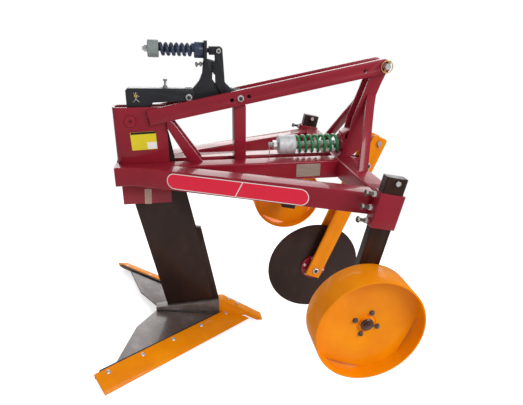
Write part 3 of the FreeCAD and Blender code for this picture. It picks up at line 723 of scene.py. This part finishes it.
# %% Trip rod, cap and cup
ROD_BORE = 9.3
CAP_WALL = [(0, 30.5), (2.5, 33), (40, 33), (42, 31.5), (42, ROD_BORE), (0, ROD_BORE)]
cap = place(tube_turned("trip_cap_turned", CAP_WALL, 48), on_line(TRIP_TAIL, TRIP_EYE, 163), trip_way)
dress(cap, "green_grey_primer", "grey_paint", "frame", "trip_cap")
CUP_WALL = [(0, 29), (2, 31), (34, 31), (37, 29.5), (37, ROD_BORE), (0, ROD_BORE)]
cup = place(tube_turned("trip_cup_turned", CUP_WALL, 48), on_line(TRIP_TAIL, TRIP_EYE, 342), trip_way)
dress(cup, "blue_spring_enamel", "blue_spring", "frame", "trip_cup")
shaft = turned("trip_rod_tail", threads(0, 60, 8.8), 20)
place(shaft, TRIP_TAIL, trip_way)
inner = place(turned("trip_rod_shaft", [(60, 8.6), (61, 9), (272, 9)], 20), TRIP_TAIL, trip_way)
dress(inner, "blue_spring_enamel", "blue_spring", "frame", "trip_rod")
nut = place(hex_nut("trip_nut", 25, 13, 8.4), on_line(TRIP_TAIL, TRIP_EYE, 150), trip_way)
dress(join("trip_rod_threaded", [shaft, nut]), "zinc_plate", "zinc_steel", "frame", "trip_rod")
EYE_WALL = [(-10, 16.5), (-8.5, 18), (8.5, 18), (10, 16.5), (10, 10.2), (-10, 10.2)]
eye = place(tube_turned("trip_rod_eye", EYE_WALL, 36), TRIP_EYE, NEAR)
bpy.ops.object.select_all(action="DESELECT")
bpy.ops.mesh.primitive_cube_add(size=1)
neck = bpy.context.object
bpy.ops.transform.resize(value=(22 * MM, 20 * MM, 18 * MM))
bpy.ops.object.transform_apply(scale=True)
pick(neck, lambda centre, normal: normal.x < -0.9)
bpy.ops.mesh.inset(thickness=3 * MM)
bpy.ops.mesh.extrude_region_move(TRANSFORM_OT_translate={"value": (-6 * MM, 0, 0)})
bpy.ops.object.mode_set(mode="OBJECT")
round_edges(neck, 1.2)
place(neck, (416, 0, 1086.6))
dress(join("trip_rod_eye_forged", [eye, neck]), "black_enamel", "black_paint", "frame", "trip_rod")
print("trip rod dressed")

# %% [markdown]
# ## Toggle pins and screws
# The head pin is plain and kept by split pins. The knee and pivot are bolts with a hexagon on each side. A
# stop screw stands on the link's top, and another bears on the lever's back. Each has a lock nut.

# %% Toggle pins and screws
def through_bolt(name, at, radius, half, flats, height, nut="zinc_plate", body="frame", *nodes):
    tip = half + height
    shank = turned(name, [(-tip - 1, radius - 4), (-tip - 1, radius - 1.6), (-tip, radius),
                          (tip, radius), (tip + 1, radius - 1.6)], 24)
    dress(place(shank, at, NEAR), "oiled_steel", "zinc_steel", body, *nodes)
    washer = tube_turned(name, [(0, flats * 0.56), (2, flats * 0.56), (2, radius), (0, radius)], 28)
    nut_piece = join(name, [washer, raised(hex_nut(name, flats, height - 2, radius), 2)])
    spots = [(Vector(at) + Vector(side) * half, side, 15) for side in (NEAR, FAR)]
    dress(join(name + "_nuts", copies(nut_piece, spots)), nut, "zinc_steel", body, *nodes)


def split_pin(name, down, spread=7.0, reach=15.0, head=5.0):
    # two round wires stand for the doubled one: bent apart under the pin, with the head left above
    legs = []
    for sign in (-1, 1):
        route = [(0, 0, head), (sign * 0.9, 0, 0), (sign * 0.9, 0, down * 0.45),
                 (sign * spread, 0, down * 0.45 - reach * 0.5)]
        legs.append(bent_rod(name, route, 1.3))
    return join(name, legs)


LINK_OUT, HEAD_X, HEAD_Z = 22.0, 105, 916
head = turned("head_pin", [(-28, 6), (-26.5, 7.5), (26.5, 7.5), (28, 6)], 28)
dress(place(head, (HEAD_X, 0, HEAD_Z), NEAR), "yellow_zinc", "zinc_steel", "frame", "toggle_bolts")
washer = tube_turned("head_pin_washer", [(0, 11), (2, 11), (2, 7.5), (0, 7.5)], 28)
washers = copies(washer, [((HEAD_X, side * LINK_OUT, HEAD_Z), (0, side, 0), 0) for side in (-1, 1)])
dress(join("head_pin_washers", washers), "oiled_steel", "zinc_steel", "frame", "toggle_bolts")
THROUGH_BOLTS = [
    # name, place, bolt radius, half the grip, across flats, nut height
    ("knee_bolt", (313, 0, 907), 8.0, 22, 24, 9),
    ("toggle_pivot_bolt", (520, 0, 905), 8.0, 54, 24, 10),
    ("spring_eye_bolt", (437, 0, 1086), 5.0, 22, 17, 7),
]
for name, at, radius, half, flats, height in THROUGH_BOLTS:
    through_bolt(name, at, radius, half, flats, height, "zinc_plate", "frame", "toggle_bolts")
base_washer = turned("stop_screw", [(0, 15), (2.5, 15), (3.5, 11)], 28)
lock_nut = hex_nut("stop_screw", 19, 7, 5)
thread = turned("stop_screw", threads(0, 28, 5.5), 16)
top = hex_nut("stop_screw", 17, 8)
SCREW_UP = (0.05, 0, 1)
place(base_washer, (221, 0, 942.5), SCREW_UP)
place(lock_nut, (221, 0, 946), SCREW_UP)
place(thread, (221, 0, 944), SCREW_UP)
place(top, (222.4, 0, 971), SCREW_UP)
stop_screw = join("link_stop_screw", [base_washer, lock_nut, thread, top])
dress(stop_screw, "dull_zinc", "zinc_steel", "frame", "toggle_bolts")
thread = turned("lever_screw", threads(0, 32, 5.5), 16)
lock_nut = hex_nut("lever_screw", 19, 8, 5)
top = hex_nut("lever_screw", 19, 8)
SCREW_BACK = (-1, 0, -0.08)
place(thread, (376, 0, 1036), SCREW_BACK)
place(lock_nut, (370, 0, 1035.5), SCREW_BACK)
place(top, (353, 0, 1034), SCREW_BACK)
dress(join("lever_stop_screw", [thread, lock_nut, top]), "dull_zinc", "zinc_steel", "frame")
spots = [((HEAD_X, side * 25.6, HEAD_Z), (0, 0, 1), 0) for side in (-1, 1)]
for word, pin in zip(("right", "left"), copies(split_pin("head_split_pin", -30, 12, 22, 15), spots)):
    dress(named("head_split_pin_" + word, pin), "zinc_plate", "zinc_steel", "frame")
print("toggle pins done")

# %% [markdown]
# ## Coulter gear
# The disc is rolled spring steel with a thin ground rim, riding between the two bars on a flanged hub. Its
# arm is held down by the long rod, whose spring is caught between the primed cap and a seat on the frame.

# %% Coulter disc and hub
DISC_AT = Vector((890, 0, 60))
disc = turned("coulter_disc_rolled", [(-2.5, 206), (-0.7, 228), (0.7, 228), (2.5, 206)], 96)
dress(place(disc, DISC_AT, NEAR), "brown_dipped_steel", "dark_paint", "coulter_disc", "coulter_disc")
HUB_PROFILE = [(-27, 29), (-26, 30), (2.5, 30), (2.5, 61.5), (4, 63), (9.5, 63), (10.5, 62), (10.5, 30)]
hub = turned("coulter_hub_turned", HUB_PROFILE + [(26, 30), (27, 29)], 48)
dress(place(hub, DISC_AT, NEAR), "maroon_enamel", "red_paint", "coulter_disc", "coulter_hub")
FLANGE_BOLTS_R = 50
spots = []
for k in range(6):
    angle = radians(100 + 60 * k)
    at = DISC_AT + Vector((cos(angle), 0, sin(angle))) * FLANGE_BOLTS_R + Vector((0, -10, 0))
    spots.append((at, NEAR, 20 * k))
bolts = copies(hex_nut("flange_bolt", 13, 5.5), spots)
dress(join("flange_bolts", bolts), "zinc_plate", "zinc_steel", "coulter_disc")
print(len(spots), "flange bolts")

# %% [markdown]
# ## Coulter pins, rod and cap
# The arm swings on a pivot pin and its disc on an axle, both bolts through the two bars. The rod goes from a
# clevis pin at the front back through the spring and its cap, and a nut on the thread sets the load. A split
# pin through the tail keeps the nut on. The primed cap is turned with a bore for the rod and a rim where
# the spring seats.

# %% Coulter pins, rod and cap
BAR_OUT = 44.0
ARM_LEAN = radians(21.9)
PIVOT_Z, DISC_Z = 590, 60
up_lean = Vector((sin(ARM_LEAN), 0, cos(ARM_LEAN)))
pivot = DISC_AT + up_lean * ((PIVOT_Z - DISC_Z) / up_lean.z)
for name, at in (("coulter_axle", DISC_AT), ("coulter_pivot", pivot)):
    through_bolt(name, at, 9.0, BAR_OUT, 26, 10, "zinc_plate", "frame", "coulter_pins")
clevis = place(turned("clevis_pin", [(-56, 8.5), (-54.5, 10), (54.5, 10), (56, 8.5)], 24), ROD_PIN, NEAR)
dress(clevis, "zinc_plate", "zinc_steel", "frame", "coulter_pins")
spots = [((ROD_PIN.x, side * 50, ROD_PIN.z), (0, 0, 1), 0) for side in (-1, 1)]
for word, pin in zip(("right", "left"), copies(split_pin("clevis_split_pin", -34, 8, 18, 12), spots)):
    dress(named("clevis_split_pin_" + word, pin), "zinc_plate", "zinc_steel", "frame")
shaft = turned("coulter_rod_turned", threads(0, 50, 10.8) + [(52, 11), (480, 11)], 24)
place(shaft, ROD_TAIL, rod_way)
nut = place(hex_nut("coulter_rod_nut", 34, 22, 10.5), on_line(ROD_TAIL, ROD_PIN, 669), rod_way, 10)
block = turned("coulter_rod_block", [(-31, 18.5), (-29.5, 20), (29.5, 20), (31, 18.5)], 32)
place(block, ROD_PIN, NEAR)
dress(join("coulter_rod_threaded", [shaft, nut, block]), "zinc_plate", "zinc_steel", "frame", "coulter_rod")
keeper = place(split_pin("tail_keeper", -90, 3.0, 12, 14), (655, 0, 692))
dress(keeper, "zinc_plate", "zinc_steel", "frame")
CAP_WALL = [(0, 39), (2.5, 41.5), (70, 41.5), (70, 42.5), (74, 42.5), (74, 11.3), (0, 11.3)]
cap = place(tube_turned("coulter_cap_turned", CAP_WALL, 56), on_line(ROD_TAIL, ROD_PIN, 692), rod_way)
dress(cap, "grey_primer", "grey_paint", "frame", "coulter_cap")
print("coulter gear done")

# %% [markdown]
# ## Hitch pins
# The top link pin is kept by a lynch pin, whose sprung ring snaps over the pin's end. The lower link pins
# screw into the lugs, so each has a collar outside and a nut inside.

# %% Hitch pins
HITCH = Vector((HITCH_X, 0, HITCH_Z))
pin = turned("top_link_pin_turned", [(-58, 11.5), (-56, 12.7), (78, 12.7), (80, 11)], 36)
place(pin, HITCH, NEAR)
head = turned("top_link_head", [(0, 18.5), (1.5, 20), (6.2, 20), (7.7, 18.5)], 36)
place(head, HITCH + Vector((0, 54.3, 0)), FAR)
dress(join("top_link_pin_finished", [pin, head]), "zinc_plate", "zinc_steel", "frame", "top_link_pin")
stem = turned("lynch_pin", [(-24, 3.2), (-21, 4.8), (16, 4.8), (17, 7), (24, 7), (26, 4)], 20)
place(stem, HITCH + Vector((0, -67, 0)), (0.42, 0, 0.9))
bpy.ops.object.select_all(action="DESELECT")
RING_WIRE, RING_R = 1.9, 24.5
bpy.ops.mesh.primitive_circle_add(vertices=10, radius=RING_WIRE * MM, fill_type="NOTHING",
                                  location=(RING_R * MM, 0, 0), rotation=(radians(90), 0, 0))
ring = bpy.context.object
bpy.ops.object.transform_apply(location=True, rotation=True)
modify(ring, "SCREW", angle=2 * pi, screw_offset=0.0, steps=48, render_steps=48, use_merge_vertices=True)
only(ring)
bpy.ops.object.mode_set(mode="EDIT")
face_out()
smooth(ring, 50)
place(ring, HITCH + Vector((-3, -74, -1)), NEAR)
dress(join("lynch_pin_and_ring", [stem, ring]), "yellow_zinc", "zinc_steel", "frame")
LUG_FACE = 388.0
shank = turned("link_pin", [(-8, 14.3), (6, 14.3), (60, 14.3), (64, 12.6)], 40)
collar = turned("link_pin", [(0, 22), (4.5, 22), (6, 20.5)], 36)
inner = turned("link_pin", [(-24, 13), (-22, 14.3), (2, 14.3)], 32)
nut = raised(hex_nut("link_pin", 40, 16), -32)
link_pin = join("lower_link_pin", [shank, collar, inner, nut])
spots = [((1040, side * LUG_FACE, 512), (0, side, 0), 0) for side in (-1, 1)]
for word, pin in zip(("right", "left"), copies(link_pin, spots)):
    dress(named("lower_link_pin_" + word, pin), "dark_zinc", "zinc_steel", "frame", "link_pins")
print("hitch pins done")

# %% [markdown]
# ## Leg screws
# Three set screws on the back of each sleeve clamp the wheel's leg. Each one goes through a welded boss, and
# a jam nut locks it. One screw is modelled, and the others are copies of it.

# %% Leg screws
LEG_Y = 530.5
SLEEVE_Z, SLEEVE_BACK = 587.0, 46.5
LEG_LEAN = radians(11.8)
LEG_UP = Vector((sin(LEG_LEAN), 0, cos(LEG_LEAN)))
LEG_BACK = Vector((-LEG_UP.z, 0, LEG_UP.x))
WHEEL_X, WHEEL_R = 890, 203
WHEEL_AT = Vector((WHEEL_X, 0, WHEEL_R))
mid = WHEEL_AT + LEG_UP * ((SLEEVE_Z - WHEEL_R) / LEG_UP.z)
feet = [mid + LEG_UP * offset + LEG_BACK * SLEEVE_BACK + Vector((0, side * LEG_Y, 0))
        for side in (-1, 1) for offset in (-50.0, 1.0, 52.0)]
boss = turned("screw_boss", [(0, 14.5), (4, 13), (6.5, 11.5)], 24)
lock = raised(hex_nut("leg_screw_nut", 20, 11, 6.2), 7)
screw = turned("leg_screw", threads(0, 40, 6.8), 16)
screw = join("leg_screw", [screw, raised(hex_nut("leg_screw", 20, 10), 38)])
LEG_SCREWS = [
    # name, drawn piece, turn about its axis, finish, slot
    ("leg_screw_bosses", boss, 0, "maroon_enamel", "red_paint"),
    ("leg_screw_nuts", lock, 30, "zinc_plate", "zinc_steel"),
    ("leg_screws_threaded", screw, 0, "dark_zinc", "zinc_steel"),
]
for name, drawn, spin, material, slot in LEG_SCREWS:
    row = join(name, copies(drawn, [(foot, LEG_BACK, spin) for foot in feet]))
    dress(row, material, slot, "frame", "set_screws")
stop = mid + LEG_UP * 108.8
spots = []
for side in (-1, 1):
    for y, way in ((558.5, 1), (498.5, -1)):
        spots.append((stop + Vector((0, side * y, 0)), (0, side * way, 0), 0))
ends = copies(hex_nut("leg_stop", 17, 6), spots)
for word, pair in (("right", ends[:2]), ("left", ends[2:])):
    dress(join("leg_stop_ends_" + word, pair), "zinc_plate", "zinc_steel", "leg_" + word)
print("leg screws done")

# %% [markdown]
# ## Wheel fasteners
# Each wheel plate has four bolts round its hub, and the hub ends in a brown turned nose. One bolt is made of
# a washer, a hexagon and the stud's tip, and the other seven are copies of it.

# %% Wheel bolts and hub noses
PLATE_OUT, WHEEL_BOLTS_R = 655.0, 46
washer = turned("wheel_bolt", [(0, 10.5), (1.5, 10.5), (2.0, 9.5)], 24)
tip = turned("wheel_bolt", [(8.5, 4.6), (11.5, 4.6), (12.5, 3.6)], 16)
wheel_bolt = join("wheel_bolt", [washer, raised(hex_nut("wheel_bolt", 15, 7), 1.8), tip])
spots = []
for side in (-1, 1):
    for k in range(4):
        angle = radians(-22 + 90 * k)
        at = Vector((WHEEL_X, side * PLATE_OUT, WHEEL_R))
        at += Vector((cos(angle), 0, sin(angle))) * WHEEL_BOLTS_R
        spots.append((at, (0, side, 0), 25 * k))
bolts = copies(wheel_bolt, spots)
dress(join("wheel_bolts_right", bolts[:4]), "dark_zinc", "zinc_steel", "wheel_right")
dress(join("wheel_bolts_left", bolts[4:]), "dark_zinc", "zinc_steel", "wheel_left")
hub_nose = turned("hub_nose", [(0, 24.5), (4, 24.5), (6, 22), (6.5, 15.5), (11, 15), (13, 12)], 40)
spots = [((WHEEL_X, side * (PLATE_OUT + 8), WHEEL_R), (0, side, 0), 0) for side in (-1, 1)]
noses = copies(hub_nose, spots)
for word, nose in zip(("right", "left"), noses):
    dress(named("hub_nose_" + word, nose), "hub_cap_enamel", "hub_paint", "wheel_" + word)
print("wheel bolts and hub noses done")

# %% [markdown]
# ## Plough bolts
# The blades are held by flat-headed plough bolts in a row behind the edge, where the soil doesn't wear them,
# and two more hold the point. A head is one turned dome, set five times along each blade and laid on its
# face, which a cross product of the blade's two directions gives.

# %% Plough bolts
face_up = BLADE_CROSS.cross(BLADE_RUN)
if face_up.z < 0:
    face_up.negate()
FIRST_BOLT, BOLT_PITCH = 51, 160
spots = []
for side in (-1, 1):
    for k in range(5):
        at = BLADE_TAIL + BLADE_RUN * (FIRST_BOLT + BOLT_PITCH * k) + BLADE_CROSS * 8
        spots.append((Vector((at.x, side * at.y, at.z)), (face_up.x, side * face_up.y, face_up.z), 0))
heads = copies(turned("plough_bolt", [(-1, 9), (0.8, 9), (2.4, 7), (2.8, 3)], 24), spots)
spots = [((x, 0, z), (0.56, 0, 0.83), 0) for x, z in ((462, -90), (505, -119))]
heads += copies(turned("point_bolt", [(-2, 10), (3, 10), (5, 8), (5.6, 4)], 24), spots)
dress(join("plough_bolts", heads), "zinc_plate", "zinc_steel", "frame")
print(len(heads), "plough bolts")

# %% [markdown]
# ## Weld beads
# Fillet welds join the wing plates to the bar and to the blades' seats, the shank to the bar, and the top
# bars' rear ends to the mast. Each is a bar of weld metal along the seam. The fine ripple on it is left out,
# because its 3 mm pitch would not show.

# %% Weld beads
def seam(name, start, end, radius, material, slot):
    beads = []
    for side in (-1, 1):
        a, b = Vector(start), Vector(end)
        a.y, b.y = a.y * side, b.y * side
        length, end_r = (b - a).length, radius * 0.6
        bead = turned(name, [(0, end_r), (radius, radius), (length - radius, radius), (length, end_r)], 12)
        beads.append(place(bead, a, b - a))
    dress(join(name, beads), material, slot, "frame")


SEAMS = [
    # name, start, end, radius, finish, slot
    ("bar_to_wing_weld", (116, 28, -100), (430, 28, -152), 4.0, "oiled_steel", "mill_steel"),
    ("shank_foot_weld", (168, 14, -84), (412, 14, -75), 4.0, "oiled_steel", "dark_paint"),
    ("top_bar_end_weld", (147, 39, 806), (147, 39, 858), 3.0, "maroon_enamel", "red_paint"),
]
for name, start, end, radius, material, slot in SEAMS:
    seam(name, start, end, radius, material, slot)
SEAT_LINE = BLADE_TAIL - BLADE_CROSS * 13 - face_up * 8
SEAT_START, SEAT_END = SEAT_LINE + BLADE_RUN * 25, SEAT_LINE + BLADE_RUN * 665
seam("blade_seat_weld", SEAT_START, SEAT_END, 4.5, "oiled_steel", "mill_steel")
print(len(SEAMS) + 1, "seams welded on both sides")

# %% [markdown]
# ## Blank labels
# The beam has a long red label with round ends, a white rim and a slanted white bar. A yellow sign with a
# black head and a white patch stands on the mast, an aluminium plate on the central beam, and a scrap of
# tape on the bracket. Each is a sheet 0.4 mm thick, the plate 0.8 mm, on the paint or on the sheet below it.
# None has any words.

# %% Blank labels
def sticker(name, at, width, height, outward, lean, material, round_r, thick):
    bpy.ops.object.select_all(action="DESELECT")
    bpy.ops.mesh.primitive_plane_add(size=1)
    piece = bpy.context.object
    piece.name = name
    bpy.ops.transform.resize(value=(width * MM, height * MM, 1))
    bpy.ops.object.transform_apply(scale=True)
    bpy.ops.object.mode_set(mode="EDIT")
    bpy.ops.mesh.select_all(action="SELECT")
    bpy.ops.mesh.bevel(offset=round_r * MM, segments=2 if round_r < 5 else 12, affect="VERTICES")
    bpy.ops.mesh.select_all(action="SELECT")
    bpy.ops.mesh.extrude_region_move(TRANSFORM_OT_translate={"value": (0, 0, thick * MM)})
    face_out()
    level_way = degrees(atan2(outward[0], -outward[1]))
    place(piece, at, outward, level_way + lean)
    return dress(piece, material, None, "frame")


BEAM_RUN = Vector((839, -411, 0)).normalized()
BEAM_OUT = Vector((BEAM_RUN.y, -BEAM_RUN.x, 0))
BEAM_REAR = Vector((73, -93, 0))


def on_beam(s, z, lift=0.0):
    return BEAM_REAR + BEAM_RUN * s + Vector((0, 0, z)) + BEAM_OUT * lift


STICKERS = [
    # name, centre, width, height, way it faces, turn in degrees, finish, corner radius, thickness
    ("beam_label_rim", on_beam(438.4, 600.2), 575, 66, BEAM_OUT, -0.5, "white_vinyl", 32.9, 0.4),
    ("beam_label_red", on_beam(438.4, 600.2, 0.4), 569, 60, BEAM_OUT, -0.5, "red_vinyl", 29.9, 0.4),
    ("beam_label_bar", on_beam(454, 600.0, 0.8), 3.2, 74, BEAM_OUT, -27, "white_vinyl", 0.3, 0.4),
    ("mast_sign", (122.7, -38, 736.7), 102, 75, NEAR, 2.4, "yellow_vinyl", 2.5, 0.4),
    ("mast_sign_head", (122.3, -38.4, 769.2), 100, 9, NEAR, 2.4, "black_vinyl", 0.8, 0.4),
    ("mast_sign_patch", (154.5, -38.4, 717.0), 38, 28, NEAR, 2.4, "white_vinyl", 0.8, 0.4),
    ("maker_plate_blank", (808.1, -102, 601.8), 106, 57, NEAR, 0.5, "aluminium_plate", 2.0, 0.8),
    ("bracket_tape", (120.9, -38, 492.3), 28.7, 68.5, NEAR, -3.5, "masking_tape", 0.6, 0.4),
]
for row in STICKERS:
    sticker(*row)
print(len(STICKERS), "labels, all blank")

# %% [markdown]
# ## Floor and light
# The machine stands in a white studio. A large soft key from the upper right front gives the wheels their
# form, a wide panel behind is what the upward faces mirror, and the world fills the rest. The floor is
# pale and keeps the shadow, and camera rays see plain white around it.

# %% Floor, lights and world
def softbox(name, at, target, width, height, power):
    lamp = bpy.data.lights.new(name, "AREA")
    lamp.shape = "RECTANGLE"
    lamp.size, lamp.size_y, lamp.energy = width, height, power
    holder = bpy.data.objects.new(name, lamp)
    bpy.context.scene.collection.objects.link(holder)
    holder.location = at
    holder.rotation_euler = (Vector(target) - Vector(at)).to_track_quat("-Z", "Y").to_euler()
    holder.visible_camera = False


# the floor fades out between two distances from the middle, in metres; the rest are strengths
FADE_FROM, FADE_TO, FLOOR_LIFT = 1.1, 2.2, 0.62
SKY_FILL, SKY_MIRRORED = 0.62, 0.30
softbox("key_softbox", (1.8, -3.0, 3.2), (0.2, 0, 0.5), 2.4, 1.8, 88)
softbox("back_panel", (0.2, 3.6, 2.5), (0.1, 0, 0.7), 6.5, 3.0, 150)
bpy.ops.object.select_all(action="DESELECT")
bpy.ops.mesh.primitive_plane_add(size=30)
floor = bpy.context.object
floor.name = "studio_floor"
material, tree, where, shader = blank("studio_floor_paint")
shader.inputs["Base Color"].default_value = linear("EDEBEA")
shader.inputs["Roughness"].default_value = 0.9
rays = add(tree, "ShaderNodeLightPath")
lift = add(tree, "ShaderNodeMath", {0: rays.outputs["Is Camera Ray"]}, operation="MULTIPLY")
lift.inputs[1].default_value = FLOOR_LIFT
tree.links.new(lift.outputs["Value"], shader.inputs["Emission Strength"])
shader.inputs["Emission Color"].default_value = (1, 1, 1, 1)
reach = add(tree, "ShaderNodeVectorMath", {0: where}, operation="LENGTH")
near_far = add(tree, "ShaderNodeMapRange", {"Value": reach.outputs["Value"]}, interpolation_type="SMOOTHSTEP")
near_far.inputs["From Min"].default_value = FADE_FROM
near_far.inputs["From Max"].default_value = FADE_TO
clear = add(tree, "ShaderNodeBsdfTransparent")
fade = add(tree, "ShaderNodeMixShader", {"Fac": near_far.outputs["Result"]})
tree.links.new(shader.outputs["BSDF"], fade.inputs[1])
tree.links.new(clear.outputs["BSDF"], fade.inputs[2])
tree.links.new(fade.outputs["Shader"], tree.nodes["Material Output"].inputs["Surface"])
floor.data.materials.append(material)
world = bpy.data.worlds.new("white_studio")
bpy.context.scene.world = world
world.use_nodes = True
tree = world.node_tree
tree.nodes.clear()
seen = add(tree, "ShaderNodeLightPath")
fill = add(tree, "ShaderNodeBackground", Color=(1, 1, 1, 1))
strength = add(tree, "ShaderNodeMapRange", {"Value": seen.outputs["Is Glossy Ray"]})
strength.inputs["To Min"].default_value = SKY_FILL
strength.inputs["To Max"].default_value = SKY_MIRRORED
tree.links.new(strength.outputs["Result"], fill.inputs["Strength"])
plain = add(tree, "ShaderNodeBackground", Color=(1, 1, 1, 1), Strength=1.0)
mixed = add(tree, "ShaderNodeMixShader", {"Fac": seen.outputs["Is Camera Ray"]})
tree.links.new(fill.outputs["Background"], mixed.inputs[1])
tree.links.new(plain.outputs["Background"], mixed.inputs[2])
add(tree, "ShaderNodeOutputWorld", {"Surface": mixed.outputs["Shader"]})
bpy.context.scene.view_settings.view_transform = "Standard"
print("stage set")
